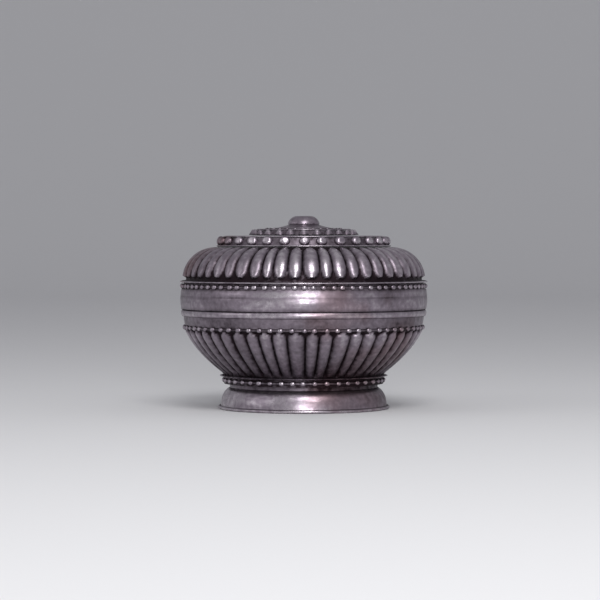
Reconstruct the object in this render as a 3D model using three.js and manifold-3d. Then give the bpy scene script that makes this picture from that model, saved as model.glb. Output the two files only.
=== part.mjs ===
// A lidded lime box from a betel set: a small footed silver box that holds slaked lime paste.
// Every piece is worked from silver sheet or wire. The bowl is raised and chased with upright
// flutes, and the lid with long petals that climb to a stepped crown of bosses, points and a knob.
// The lid drops over a collar that stands inside the bowl's mouth, and it lifts straight off.
//
// Millimetres, +Z up. The origin is at the centre of the foot, on the surface the box stands on.
// The front of the box faces -Y.

import * as THREE from "three";
import { mergeVertices } from "three/addons/utils/BufferGeometryUtils.js";
import Module from "manifold-3d";

const wasm = await Module();
wasm.setup();

// Sheet, fits and the spacing of the applied wires
const sheet = 0.7; // thickness of the silver sheet
const solderGap = 0.1; // room left between two pieces that are soldered together
const seatClearance = 0.25; // radial play of the lid on the seat collar
const lidGap = 0.15; // height of the dark line between lid and mouth
const wireSpacing = 0.25; // bare metal between one applied wire and the next

// Foot
const footHeight = 5.2; // height of the flared skirt
const footSpread = 2.3; // how far the skirt spreads from its neck to its lower edge
const footFullness = 0.8; // share of the skirt's height where it is still nearly upright
const neckInset = 1.4; // how far the neck stands inside the bowl's base
const neckHeight = 0.8; // height of the dark recess under the foot's beads
const footSegments = 4;

// Bowl
const bowlBaseRadius = 19.3; // outer radius of the plain base wall
const fluteRun = 0.7; // plain step between the neck wire and the foot of the flutes
const fluteHeight = 9.95; // height of the fluted wall
const fluteBelly = 0.64; // how far out the wall has swung halfway up, 0.5 being a straight cone
const fluteDepth = 0.55; // depth of the grooves between flutes
const fluteCount = 48;
const bowlRimHeight = 0.6; // plain rim above the flutes
const bowlFloor = 0.8; // thickness of the floor

// Plain band, mouth and seat collar
const mouthRadius = 29.25; // outer radius of the bowl's band at the mouth
const mouthFlare = 0.55; // how much narrower the band is where it meets the bowl
const bowlBandHeight = 4.4;
const seatHeight = 4.4; // how far the seat collar stands above the mouth
const seatLead = 0.3; // chamfer that leads the lid on

// Lid band and shoulder
const lidBandHeight = 5.5; // from the lid's lower edge to the seam under the beads
const bandBelly = 0.6; // how far the band swells past the seam
const bandEdgeTuck = 0.3; // how far its lower edge draws in again
const petalRise = 7.8; // height of the petalled shoulder
const petalDepth = 0.6; // depth of the grooves between petals
const petalCount = 52;

// Crown of the lid
const bossTierRadius = 20.6; // outer radius of the lower tier's base
const tierLean = 1.0; // how far the lower tier's wall leans in
const tierLedge = 0.2; // bare ledge outside the lower tier's foot wire
const tierFlange = 0.5; // how far each tier's base reaches in past its wall
const bossCount = 29;
const bossWidth = 2.5;
const bossHeight = 1.6;
const bossBulge = 0.7;
const lowerDeckRise = 0.65; // how much the lower tier's deck climbs towards the middle
const pointTierRadius = 12.5;
const pointTierHeight = 1.05;
const pointTierLean = 0.8;
const upperDeckRise = 0.3;
const pointCount = 25;
const pointWidth = 1.5;
const granuleRingRadius = 9.2;
const granuleCount = 28;
const granuleSize = 0.55;

// Knob and its collar
const collarRadius = 6.8;
const collarEdge = 0.3; // thickness of the collar at its rim
const collarHeight = 1.05;
const knobRadius = 3.85;
const knobHeight = 2.05; // from the collar to the top of the knob
const knobFlat = 0.45; // share of the knob's radius that is nearly flat on top
const pegRadius = 1.3; // peg under the knob, which passes through the crown
const pegClearance = 0.1;
const pegLength = 1.9;

// Applied wires
const beadHeight = 1.2; // height of one bead of the beaded wires
const beadBulge = 0.55; // how far a bead stands out
const beadWaist = 0.4; // size of the wire between two beads, as a share of a bead
const lidBeads = 80;
const bowlBeads = 68;
const footBeads = 44;
const lineWireHeight = 0.45; // the thin plain wires
const lineWireBulge = 0.5;
const mouthWireHeight = 1.55;
const mouthWireBulge = 0.4;
const edgeWireHeight = 0.85;
const edgeWireBulge = 0.55;

// Facets around each kind of piece
const bandSteps = 48;
const smallWireSteps = 36;
const knobSteps = 24;
const stepsPerRib = 3;
const insideSteps = 40;

// Heights of the pieces, worked out from the foot upwards
const bowlLevel = footHeight + neckHeight + solderGap;
const footBeadLevel = bowlLevel + wireSpacing; // lower edge of the foot's beads
const neckWireLevel = footBeadLevel + beadHeight + wireSpacing;
const bowlBaseHeight = neckWireLevel + lineWireHeight - bowlLevel;
const fluteBottom = bowlBaseHeight + fluteRun; // these two are measured from the bowl's underside
const fluteTop = fluteBottom + fluteHeight;
const bowlBandLevel = bowlLevel + fluteTop + bowlRimHeight + solderGap;
const mouthLevel = bowlBandLevel + bowlBandHeight;
const bowlBeadLevel = bowlLevel + fluteTop + wireSpacing;
const lidLevel = mouthLevel + lidGap;
// These are measured from the lid's lower edge.
const lidBeadLevel = lidBandHeight + solderGap / 2 - beadHeight / 2;
const shoulderLevel = lidBandHeight + solderGap;
const shoulderWireLevel = lidBeadLevel + beadHeight + wireSpacing;
const petalBottom = shoulderWireLevel + lineWireHeight + wireSpacing;
const deckLevel = petalBottom + petalRise;
const bossTierLevel = deckLevel + solderGap;
const bossTierWall = lineWireHeight + bossHeight;
const lowerDeckEdge = bossTierLevel + bossTierWall;
const pointTierLevel = lowerDeckEdge + lowerDeckRise + solderGap;
const upperDeckEdge = pointTierLevel + pointTierHeight;
const collarLevel = upperDeckEdge + upperDeckRise + solderGap;
const knobLevel = collarLevel + collarHeight + solderGap;

// Radii that follow from others
const bowlSeamRadius = mouthRadius - mouthFlare;
const neckRadius = bowlBaseRadius - neckInset;
const footRadius = neckRadius + footSpread;
const seatRadius = mouthRadius - sheet - solderGap;
const lidBore = seatRadius + seatClearance;
const lidSeamRadius = lidBore + sheet;
const bandRadius = lidSeamRadius + bandBelly;
const crownRadius = bossTierRadius + solderGap + lineWireBulge + tierLedge;

const v = (r, z) => new THREE.Vector2(r, z);

// A closed section swept round the Z axis. sectionAt(step) gives the section at each step, so that
// it can change on the way round. A section runs up the outside and down the inside.
function sweepRound(sectionAt, steps) {
  const geometry = new THREE.LatheGeometry(sectionAt(0), steps);
  const position = geometry.attributes.position;
  let vertex = 0;
  for (let step = 0; step <= steps; step++) {
    const turn = (step / steps) * 2 * Math.PI;
    for (const p of sectionAt(step % steps)) {
      position.setXYZ(vertex, p.x * Math.sin(turn), p.y, p.x * Math.cos(turn));
      vertex += 1;
    }
  }
  return geometry.rotateX(Math.PI / 2);
}

// A plain turned piece. An open section that starts and ends on the axis is left as it is.
function turned(section, steps) {
  const last = section[section.length - 1];
  const closed = last.x === 0 ? section : [...section, section[0]];
  return sweepRound(() => closed, steps);
}

// A three.js geometry as a manifold solid, and back
function solid(geometry) {
  const bare = geometry.clone();
  bare.deleteAttribute("normal");
  bare.deleteAttribute("uv");
  const merged = mergeVertices(bare, 1e-4);
  const index = merged.index.array;
  const faces = [];
  for (let i = 0; i < index.length; i += 3) {
    const [a, b, c] = [index[i], index[i + 1], index[i + 2]];
    if (a !== b && b !== c && c !== a) faces.push(a, b, c);
  }
  return new wasm.Manifold(
    new wasm.Mesh({
      numProp: 3,
      vertProperties: merged.attributes.position.array,
      triVerts: new Uint32Array(faces),
    }),
  );
}

function geometryOf(manifold) {
  const mesh = manifold.getMesh();
  const geometry = new THREE.BufferGeometry();
  geometry.setAttribute("position", new THREE.BufferAttribute(mesh.vertProperties, 3));
  geometry.setIndex(new THREE.BufferAttribute(mesh.triVerts, 1));
  return geometry;
}

// Points along a section curve, and the same points moved inwards by a distance
function alongCurve(curve, segments, inwards = 0) {
  const points = [];
  for (let k = 0; k <= segments; k++) {
    const p = curve.getPoint(k / segments);
    const t = curve.getTangent(k / segments);
    points.push(v(p.x - t.y * inwards, p.y + t.x * inwards));
  }
  return points;
}

// A section curve chased with ribs: the grooves between ribs fade out at both ends of the curve.
function chasedCurve(curve, segments, depth, step) {
  const inGroove = step % stepsPerRib === 0;
  const crest = alongCurve(curve, segments);
  if (!inGroove) return crest;
  const groove = alongCurve(curve, segments, depth);
  return crest.map((p, k) => (k === 0 || k === segments ? p : groove[k]));
}

// A half-round wire whose flat side lies on a wall, from its lower edge at height 0
function lineWire(innerRadius, height, bulge, steps) {
  const section = [
    v(innerRadius, 0),
    v(innerRadius + bulge, height * 0.25),
    v(innerRadius + bulge, height * 0.75),
    v(innerRadius, height),
  ];
  return turned(section, steps);
}

// A beaded wire, from its lower edge at height 0: the section swells at each bead.
function beadedWire(innerRadius, beads) {
  const sectionOfSize = (share) => {
    const half = (beadHeight / 2) * share;
    const reach = beadBulge * share;
    const middle = beadHeight / 2;
    const points = [
      v(innerRadius, middle - half),
      v(innerRadius + reach, middle - half / 2),
      v(innerRadius + reach, middle + half / 2),
      v(innerRadius, middle + half),
    ];
    return [...points, points[0]];
  };
  const bead = sectionOfSize(1);
  const waist = sectionOfSize(beadWaist);
  return sweepRound((step) => (step % 2 ? bead : waist), beads * 2);
}

// The skirt of the foot: flared sheet, nearly upright below and turned in to the neck above
function footRing() {
  const skirt = new THREE.QuadraticBezierCurve(
    v(footRadius, 0),
    v(footRadius, footHeight * footFullness),
    v(neckRadius, footHeight),
  );
  const section = [
    ...alongCurve(skirt, footSegments),
    v(neckRadius, footHeight + neckHeight),
    v(neckRadius - sheet, footHeight + neckHeight),
    ...alongCurve(skirt, footSegments - 1, sheet).reverse(),
  ];
  section[section.length - 1].y = 0;
  return turned(section, bandSteps);
}

// The raised bowl: flat floor, plain base wall for the applied wires, and the fluted wall
function bowl() {
  const wall = new THREE.QuadraticBezierCurve(
    v(bowlBaseRadius + fluteRun, fluteBottom),
    v(
      bowlBaseRadius + fluteRun + (bowlSeamRadius - bowlBaseRadius - fluteRun) * fluteBelly * 1.15,
      fluteBottom + fluteHeight / 2,
    ),
    v(bowlSeamRadius, fluteTop),
  );
  const segments = 4;
  const rim = fluteTop + bowlRimHeight;
  const outside = (step) => [
    v(0, 0),
    v(bowlBaseRadius, 0),
    v(bowlBaseRadius, bowlBaseHeight),
    ...chasedCurve(wall, segments, fluteDepth, step),
    v(bowlSeamRadius, rim),
    v(0, rim),
  ];
  const lining = alongCurve(wall, segments, fluteDepth + sheet);
  const inside = [
    v(0, bowlFloor),
    v(bowlBaseRadius - sheet - bowlFloor, bowlFloor),
    ...lining.slice(0, segments),
    v(bowlSeamRadius - sheet, fluteTop),
    v(bowlSeamRadius - sheet, rim + sheet),
    v(0, rim + sheet),
  ];
  const outer = solid(sweepRound(outside, fluteCount * stepsPerRib));
  return geometryOf(outer.subtract(solid(turned(inside, insideSteps))));
}

// The plain band between the bowl's beads and the mouth
function bowlBand() {
  const straight = bowlBandHeight - mouthWireHeight;
  return turned(
    [
      v(bowlSeamRadius - sheet, 0),
      v(bowlSeamRadius, 0),
      v(mouthRadius, straight),
      v(mouthRadius, bowlBandHeight),
      v(mouthRadius - sheet, bowlBandHeight),
      v(mouthRadius - sheet, straight),
    ],
    bandSteps,
  );
}

// The collar inside the mouth that the lid slides over
function seatCollar() {
  const height = mouthWireHeight + seatHeight;
  return turned(
    [
      v(seatRadius - sheet, 0),
      v(seatRadius, 0),
      v(seatRadius, height - seatLead),
      v(seatRadius - seatLead, height),
      v(seatRadius - sheet, height),
    ],
    bandSteps,
  );
}

// The plain band of the lid, swelling outwards, with a rebate at its top for the beads
function lidBand() {
  const bellyTop = lidBeadLevel - solderGap;
  const belly = new THREE.QuadraticBezierCurve(
    v(bandRadius - bandEdgeTuck, 0),
    v(bandRadius + bandEdgeTuck, bellyTop / 2),
    v(bandRadius - bandEdgeTuck, bellyTop),
  );
  return turned(
    [
      v(lidBore, 0),
      ...alongCurve(belly, 3),
      v(lidSeamRadius, bellyTop),
      v(lidSeamRadius, lidBandHeight),
      v(lidBore, lidBandHeight),
    ],
    bandSteps,
  );
}

// The petalled shoulder: a plain rim, a quarter round of petals and the flat deck of the crown
function lidShoulder() {
  const foot = petalBottom - shoulderLevel;
  const top = deckLevel - shoulderLevel;
  const shoulder = new THREE.EllipseCurve(
    crownRadius,
    foot,
    lidSeamRadius - crownRadius,
    petalRise,
    0,
    Math.PI / 2,
  );
  const segments = 5;
  const outside = (step) => [
    v(0, 0),
    v(lidSeamRadius, 0),
    ...chasedCurve(shoulder, segments, petalDepth, step),
    v(0, top),
  ];
  const holeRadius = bossTierRadius - sheet - tierFlange;
  const lining = alongCurve(shoulder, segments - 1, petalDepth + sheet);
  const inside = [
    v(0, -sheet),
    v(lidBore, -sheet),
    v(lidBore, foot),
    ...lining.slice(1),
    v(holeRadius, top - petalDepth - sheet),
    v(holeRadius, top + sheet),
    v(0, top + sheet),
  ];
  const outer = solid(sweepRound(outside, petalCount * stepsPerRib));
  return geometryOf(outer.subtract(solid(turned(inside, insideSteps))));
}

// Adds copies of one stud to a turned shell, evenly spaced round the axis, the first at the front.
function studded(shell, stud, count) {
  let whole = solid(shell);
  for (let k = 0; k < count; k++) {
    const copy = stud.clone().rotateZ((k / count) * 2 * Math.PI);
    whole = whole.add(solid(copy));
  }
  return geometryOf(whole);
}

// A stepped tier of the crown: a leaning wall on a flange, and a deck that climbs to a hole
function tierShell(radius, wall, lean, rise, holeRadius, steps) {
  return turned(
    [
      v(radius - sheet - tierFlange, 0),
      v(radius, 0),
      v(radius - lean, wall),
      v(holeRadius, wall + rise),
      v(holeRadius, wall + rise - sheet),
      v(radius - lean - sheet, wall - sheet),
    ],
    steps,
  );
}

// The lower tier, with a row of round bosses
function bossTier() {
  const holeRadius = pointTierRadius - sheet - tierFlange;
  const shell = tierShell(
    bossTierRadius,
    bossTierWall,
    tierLean,
    lowerDeckRise,
    holeRadius,
    bossCount * 2,
  );
  const bossLevel = lineWireHeight + bossHeight / 2;
  const bossCentre = bossTierRadius - (tierLean * bossLevel) / bossTierWall;
  const boss = new THREE.SphereGeometry(1, 6, 4)
    .scale(bossWidth / 2, bossHeight / 2, bossBulge)
    .rotateX(Math.PI / 2)
    .translate(0, -bossCentre, bossLevel);
  return studded(shell, boss, bossCount);
}

// The upper tier, with a row of upright points
function pointTier() {
  const shell = tierShell(
    pointTierRadius,
    pointTierHeight,
    pointTierLean,
    upperDeckRise,
    pegRadius + pegClearance,
    pointCount * 2,
  );
  const lean = Math.atan2(pointTierLean, pointTierHeight) / 2;
  const pointHeight = pointTierHeight - pointWidth * Math.sin(lean);
  const point = new THREE.ConeGeometry(pointWidth / 2, pointHeight, 5)
    .rotateX(Math.PI / 2)
    .rotateX(-lean)
    .translate(0, -(pointTierRadius - pointTierLean / 2), pointTierHeight / 2);
  return studded(shell, point, pointCount);
}

// The ring of fine granules on the upper deck
function granuleWire() {
  const deck = (radius) =>
    (upperDeckRise * (pointTierRadius - pointTierLean - radius)) /
    (pointTierRadius - pointTierLean - pegRadius - pegClearance);
  const granule = (share) => {
    const half = (granuleSize / 2) * share;
    const points = [
      v(granuleRingRadius - half, deck(granuleRingRadius - half)),
      v(granuleRingRadius + half, deck(granuleRingRadius - half)),
      v(granuleRingRadius, deck(granuleRingRadius - half) + granuleSize * share),
    ];
    return [...points, points[0]];
  };
  const bead = granule(1);
  const waist = granule(beadWaist);
  return sweepRound((step) => (step % 2 ? bead : waist), granuleCount * 2);
}

// The flared collar under the knob
function knobCollar() {
  const bore = pegRadius + pegClearance;
  const flare = new THREE.QuadraticBezierCurve(
    v(collarRadius, collarEdge),
    v(knobRadius * 1.1, collarEdge * 1.5),
    v(knobRadius, collarHeight),
  );
  return turned(
    [v(bore, 0), v(collarRadius, 0), ...alongCurve(flare, 3), v(bore, collarHeight)],
    knobSteps,
  );
}

// The knob: a flattened ball on a peg
function knob() {
  const waistHeight = knobHeight * 0.28;
  const dome = new THREE.CubicBezierCurve(
    v(knobRadius, waistHeight),
    v(knobRadius, knobHeight * 0.75),
    v(knobRadius * knobFlat * 1.6, knobHeight),
    v(0, knobHeight),
  );
  return turned(
    [
      v(0, -pegLength),
      v(pegRadius, -pegLength),
      v(pegRadius, 0),
      v(knobRadius * 0.85, 0),
      ...alongCurve(dome, 5).slice(0, 5),
      v(0, knobHeight),
    ],
    knobSteps,
  );
}

// Finishes: chased sheet is darkest, because tarnish stays in its grooves
const chasedSilver = new THREE.MeshStandardMaterial({
  color: 0x8d868c,
  roughness: 0.42,
  metalness: 1,
});
const plainSilver = new THREE.MeshStandardMaterial({
  color: 0xa39ea6,
  roughness: 0.32,
  metalness: 1,
});
const wireSilver = new THREE.MeshStandardMaterial({
  color: 0xb4afb4,
  roughness: 0.3,
  metalness: 1,
});

function piece(name, geometry, material, level) {
  const mesh = new THREE.Mesh(geometry, material);
  mesh.name = name;
  mesh.position.z = level;
  return mesh;
}

const edgeWire = lineWire(footRadius + solderGap, edgeWireHeight, edgeWireBulge, smallWireSteps);
edgeWire.attributes.position.array.forEach((value, i, array) => {
  // The edge wire is filed flat where the box stands on it.
  if (i % 3 === 2 && value < edgeWireHeight * 0.3) array[i] = 0;
});
const neckWire = lineWire(
  bowlBaseRadius + solderGap,
  lineWireHeight,
  lineWireBulge * 2,
  smallWireSteps,
);
const mouthWire = lineWire(mouthRadius + solderGap, mouthWireHeight, mouthWireBulge, bandSteps);
const shoulderWire = lineWire(
  lidSeamRadius + solderGap,
  lineWireHeight,
  lineWireBulge,
  bandSteps,
);
const bossFootWire = lineWire(
  bossTierRadius + solderGap,
  lineWireHeight,
  lineWireBulge,
  smallWireSteps,
);
const bossRimWire = lineWire(
  bossTierRadius - tierLean - lineWireBulge - solderGap,
  lineWireHeight,
  lineWireBulge,
  smallWireSteps,
);
const pointRimWire = lineWire(
  pointTierRadius - pointTierLean - lineWireBulge - solderGap,
  lineWireHeight * 0.8,
  lineWireBulge * 0.8,
  smallWireSteps,
);

// How far a deck has climbed where a rim wire's inner edge lies on it
const bossRimClimb =
  (lowerDeckRise * (lineWireBulge + solderGap)) /
  (bossTierRadius - tierLean - pointTierRadius + sheet + tierFlange);
const pointRimClimb =
  (upperDeckRise * (lineWireBulge + solderGap)) /
  (pointTierRadius - pointTierLean - pegRadius - pegClearance);

const box = new THREE.Group();
box.add(
  piece("foot_ring", footRing(), plainSilver, 0),
  piece("foot_edge_wire", edgeWire, wireSilver, 0),
  piece(
    "foot_bead_wire",
    beadedWire(bowlBaseRadius + solderGap, footBeads),
    wireSilver,
    footBeadLevel,
  ),
  piece("neck_wire", neckWire, wireSilver, neckWireLevel),
  piece("bowl", bowl(), chasedSilver, bowlLevel),
  piece(
    "bowl_bead_wire",
    beadedWire(bowlSeamRadius + mouthFlare / 3, bowlBeads),
    wireSilver,
    bowlBeadLevel,
  ),
  piece("bowl_band", bowlBand(), plainSilver, bowlBandLevel),
  piece("mouth_wire", mouthWire, wireSilver, mouthLevel - mouthWireHeight),
  piece("seat_collar", seatCollar(), plainSilver, mouthLevel - mouthWireHeight),
);

const lid = new THREE.Group();
lid.position.z = lidLevel;
lid.add(
  piece("lid_band", lidBand(), plainSilver, 0),
  piece(
    "lid_bead_wire",
    beadedWire(lidSeamRadius + solderGap, lidBeads),
    wireSilver,
    lidBeadLevel,
  ),
  piece("shoulder_wire", shoulderWire, wireSilver, shoulderWireLevel),
  piece("lid_shoulder", lidShoulder(), chasedSilver, shoulderLevel),
  piece("boss_tier_foot_wire", bossFootWire, wireSilver, deckLevel + solderGap),
  piece("boss_tier", bossTier(), chasedSilver, bossTierLevel),
  piece(
    "boss_tier_rim_wire",
    bossRimWire,
    wireSilver,
    lowerDeckEdge + bossRimClimb + solderGap,
  ),
  piece("point_tier", pointTier(), chasedSilver, pointTierLevel),
  piece(
    "point_tier_rim_wire",
    pointRimWire,
    wireSilver,
    upperDeckEdge + pointRimClimb + solderGap,
  ),
  piece("granule_wire", granuleWire(), wireSilver, upperDeckEdge + solderGap),
  piece("knob_collar", knobCollar(), plainSilver, collarLevel),
  piece("knob", knob(), plainSilver, knobLevel),
);

const limeBox = new THREE.Group();
limeBox.add(box, lid);

export default limeBox;
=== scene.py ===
# %% [markdown]
# A silver lime box from a betel set, dressed for its photograph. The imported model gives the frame:
# its sizes are right, but its pieces are faceted and perfectly even. Here each piece is made again
# inside the same space, with fine petals, round beads and the small unevenness of handwork.

import bisect
import math
import random

import bpy
from mathutils import Matrix, Vector, noise


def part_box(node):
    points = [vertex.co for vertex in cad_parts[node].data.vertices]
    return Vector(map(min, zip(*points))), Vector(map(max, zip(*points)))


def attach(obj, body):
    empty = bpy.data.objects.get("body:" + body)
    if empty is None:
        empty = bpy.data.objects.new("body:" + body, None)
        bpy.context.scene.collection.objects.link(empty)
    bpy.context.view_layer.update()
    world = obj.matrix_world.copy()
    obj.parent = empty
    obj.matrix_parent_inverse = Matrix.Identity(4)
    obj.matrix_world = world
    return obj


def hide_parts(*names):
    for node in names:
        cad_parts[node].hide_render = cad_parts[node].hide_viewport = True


MM = 0.001

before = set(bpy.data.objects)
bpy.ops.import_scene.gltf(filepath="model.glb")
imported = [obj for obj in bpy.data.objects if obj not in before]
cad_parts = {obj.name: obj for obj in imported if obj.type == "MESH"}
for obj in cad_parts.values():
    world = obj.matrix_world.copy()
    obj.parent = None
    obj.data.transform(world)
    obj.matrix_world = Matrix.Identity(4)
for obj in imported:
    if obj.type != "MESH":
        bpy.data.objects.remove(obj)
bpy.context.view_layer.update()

# %% [markdown]
# The camera stands where the photograph was taken: about 0.6 m away with a long lens, a little
# below the height of the knob and tipped slightly down. It could be framed by hand, but working
# its place out from the photograph's horizon keeps the rims as flat as they are seen there.

# %% Camera
PHOTO_SIDE = 600  # pixels along the photograph's frame
FOCAL_PIXELS = 2450  # focal length, in pixels of the photograph
HORIZON_RISE = 58  # pixels from the middle of the frame up to the horizon
AXIS_OFFSET = 3.75  # pixels from the middle of the frame to the box's axis
SENSOR_WIDTH = 36  # mm
CAMERA_DISTANCE = 0.594  # metres from the box's axis
CAMERA_HEIGHT = 0.0403  # metres above the floor

camera_data = bpy.data.cameras.new("camera")
camera = bpy.data.objects.new("camera", camera_data)
bpy.context.scene.collection.objects.link(camera)
camera_data.sensor_width = SENSOR_WIDTH
camera_data.lens = SENSOR_WIDTH * FOCAL_PIXELS / PHOTO_SIDE
camera_data.shift_x = -AXIS_OFFSET / PHOTO_SIDE
tilt = math.atan2(HORIZON_RISE, FOCAL_PIXELS)
camera.location = (0, -CAMERA_DISTANCE, CAMERA_HEIGHT)
camera.rotation_euler = (math.pi / 2 - tilt, 0, 0)
bpy.context.scene.camera = camera
print("lens", round(camera_data.lens), "mm, tilt", round(math.degrees(tilt), 2), "degrees")

# %% [markdown]
# The floor is one pale sheet that curves up into a backdrop, as in a photographer's studio. Two
# planes would meet in a hard line behind the box, so the back edge is pulled up and bevelled.

# %% Floor and backdrop
STAGE_SIDE = 4.0  # metres
SWEEP_WIDTH = 0.8  # metres of floor that the curve takes up
SWEEP_SEGMENTS = 16


def deselect():
    if bpy.context.object and bpy.context.object.mode != "OBJECT":
        bpy.ops.object.mode_set(mode="OBJECT")
    bpy.ops.object.select_all(action="DESELECT")


deselect()
bpy.ops.mesh.primitive_plane_add(size=STAGE_SIDE)
floor = bpy.context.object
floor.name = "floor"
for edge in floor.data.edges:
    ends = [floor.data.vertices[i].co for i in edge.vertices]
    edge.select = all(end.y > 0 for end in ends)
for vertex in floor.data.vertices:
    vertex.select = vertex.co.y > 0
for face in floor.data.polygons:
    face.select = False
bpy.ops.object.mode_set(mode="EDIT")
bpy.ops.mesh.select_mode(type="EDGE")
bpy.ops.mesh.extrude_region_move(TRANSFORM_OT_translate={"value": (0, 0, STAGE_SIDE / 2)})
bpy.ops.object.mode_set(mode="OBJECT")
sweep = floor.modifiers.new("sweep", "BEVEL")
sweep.width = SWEEP_WIDTH
sweep.segments = SWEEP_SEGMENTS
bpy.ops.object.modifier_apply(modifier="sweep")
bpy.ops.object.shade_smooth()
print("floor:", len(floor.data.polygons), "faces")

# %% [markdown]
# Light: one soft lamp above and in front lights the crown and petals, a second near the camera
# gives the upright bands their broad highlight, a faint one fills the left, and the pale world
# does the rest. Metal shows what is around it, so few, large and plain lights keep it readable.

# %% Light
WORLD_GREY = (0.4, 0.4, 0.42, 1)
FLOOR_GREY = (0.74, 0.74, 0.75, 1)
FLOOR_ROUGHNESS = 0.9
AIM_HEIGHT = 0.025  # metres: the lamps face the middle of the box


def soft_lamp(name, place, side, watts):
    """A square soft lamp that faces the middle of the box."""
    data = bpy.data.lights.new(name, "AREA")
    data.size = side
    data.energy = watts
    lamp = bpy.data.objects.new(name, data)
    bpy.context.scene.collection.objects.link(lamp)
    lamp.location = place
    aim = Vector((0, 0, AIM_HEIGHT)) - Vector(place)
    lamp.rotation_euler = aim.to_track_quat("-Z", "Y").to_euler()


soft_lamp("key_lamp", place=(0.06, -0.4, 0.42), side=0.24, watts=1.3)
soft_lamp("front_lamp", place=(0.05, -0.75, 0.16), side=0.16, watts=1.5)
soft_lamp("fill_lamp", place=(-0.6, -0.25, 0.3), side=0.4, watts=0.4)
world = bpy.data.worlds.new("studio")
world.use_nodes = True
world.node_tree.nodes["Background"].inputs["Color"].default_value = WORLD_GREY
bpy.context.scene.world = world
bpy.context.scene.view_settings.view_transform = "Standard"
floor_paint = bpy.data.materials.new("pale_floor")
floor_paint.use_nodes = True
floor_shader = floor_paint.node_tree.nodes["Principled BSDF"]
floor_shader.inputs["Base Color"].default_value = FLOOR_GREY
floor_shader.inputs["Roughness"].default_value = FLOOR_ROUGHNESS
floor.data.materials.append(floor_paint)

# %% [markdown]
# Old silver is bright only where fingers rub it, and it blackens in the grooves. Each piece
# therefore carries an attribute, hollow, that says how deep in a groove a point lies. Painting
# every piece by hand would show the same, but one rule made of nodes suits them all. It adds
# cloudy noise and fine specks to the hollow, and gives one number: how tarnished a point is.

# %% Amount of tarnish
CLOUD_SCALE = 75
CLOUD_DETAIL = 4
CLOUD_MIDDLE = 0.47
SPECK_SCALE = 900
SPECK_DETAIL = 3
SPECK_MIDDLE = 0.5
SPECK_TARNISH = 0.55
OVERALL_TARNISH = 0.2


def add_noise(tree, place, scale, detail):
    texture = tree.nodes.new("ShaderNodeTexNoise")
    texture.inputs["Scale"].default_value = scale
    texture.inputs["Detail"].default_value = detail
    tree.links.new(place, texture.inputs["Vector"])
    return texture.outputs["Fac"]


def add_math(tree, operation, first, second, clamp=False):
    """One step of arithmetic. Each value is a socket, or a number written as a float."""
    step = tree.nodes.new("ShaderNodeMath")
    step.operation = operation
    step.use_clamp = clamp
    for socket, value in zip(step.inputs, (first, second)):
        if isinstance(value, float):
            socket.default_value = value
        else:
            tree.links.new(value, socket)
    return step.outputs[0]


def tarnish_level(tree, place, groove_tarnish, cloud_tarnish):
    """How tarnished a point is, from 0, rubbed bright, to 1, black."""
    hollow = tree.nodes.new("ShaderNodeAttribute")
    hollow.attribute_name = "hollow"
    deep = add_math(tree, "MULTIPLY", hollow.outputs["Fac"], groove_tarnish)
    clouds = add_noise(tree, place, CLOUD_SCALE, CLOUD_DETAIL)
    cloudy = add_math(tree, "SUBTRACT", clouds, CLOUD_MIDDLE)
    cloudy = add_math(tree, "MULTIPLY", cloudy, cloud_tarnish)
    specks = add_noise(tree, place, SPECK_SCALE, SPECK_DETAIL)
    speckled = add_math(tree, "SUBTRACT", specks, SPECK_MIDDLE)
    speckled = add_math(tree, "MULTIPLY", speckled, SPECK_TARNISH)
    tarnish = add_math(tree, "ADD", deep, cloudy)
    tarnish = add_math(tree, "ADD", tarnish, speckled)
    return add_math(tree, "ADD", tarnish, OVERALL_TARNISH, clamp=True)


print("tarnish with no hollow, cloud or speck:", OVERALL_TARNISH)

# %% [markdown]
# The tarnish gives the colour: rubbed silver, then dull, then purple-brown that is nearly black.
# One flat grey would look like painted plastic. Reddish-brown patches lie over it wherever a
# second, larger noise is high, and the more tarnished a point is, the rougher it is.

# %% Colour and roughness
RUBBED = (0.66, 0.61, 0.65, 1)
DULL = (0.30, 0.255, 0.30, 1)
BLACKENED = (0.022, 0.014, 0.018, 1)
DULL_LEVEL = 0.34  # the tarnish at which silver is dull
BLACK_LEVEL = 0.92
REDDISH_TINT = (0.90, 0.51, 0.39, 1)
PATCH_SCALE = 38
PATCH_DETAIL = 3
PATCH_EDGE = 0.56  # the noise at which a patch begins
PATCH_MIDDLE = 0.72
PATCH_STRENGTH = 0.6
ROUGHER_BY = 0.32  # how much rougher black silver is than rubbed silver


def silver_colour(tree, place, tarnish):
    ramp = tree.nodes.new("ShaderNodeValToRGB")
    tree.links.new(tarnish, ramp.inputs["Fac"])
    ramp.color_ramp.elements[0].color = RUBBED
    ramp.color_ramp.elements[1].color = BLACKENED
    ramp.color_ramp.elements[1].position = BLACK_LEVEL
    ramp.color_ramp.elements.new(DULL_LEVEL).color = DULL
    patches = tree.nodes.new("ShaderNodeMapRange")
    tree.links.new(add_noise(tree, place, PATCH_SCALE, PATCH_DETAIL), patches.inputs["Value"])
    patches.inputs["From Min"].default_value = PATCH_EDGE
    patches.inputs["From Max"].default_value = PATCH_MIDDLE
    patches.inputs["To Max"].default_value = PATCH_STRENGTH
    tint = tree.nodes.new("ShaderNodeMix")
    tint.data_type = "RGBA"
    tint.blend_type = "MULTIPLY"
    tree.links.new(patches.outputs["Result"], tint.inputs["Factor"])
    tree.links.new(ramp.outputs["Color"], tint.inputs["A"])
    tint.inputs["B"].default_value = REDDISH_TINT
    return tint.outputs["Result"]


def silver_roughness(tree, tarnish, smoothness):
    roughness = tree.nodes.new("ShaderNodeMapRange")
    tree.links.new(tarnish, roughness.inputs["Value"])
    roughness.inputs["To Min"].default_value = 1 - smoothness
    roughness.inputs["To Max"].default_value = 1 - smoothness + ROUGHER_BY
    return roughness.outputs["Result"]


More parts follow.
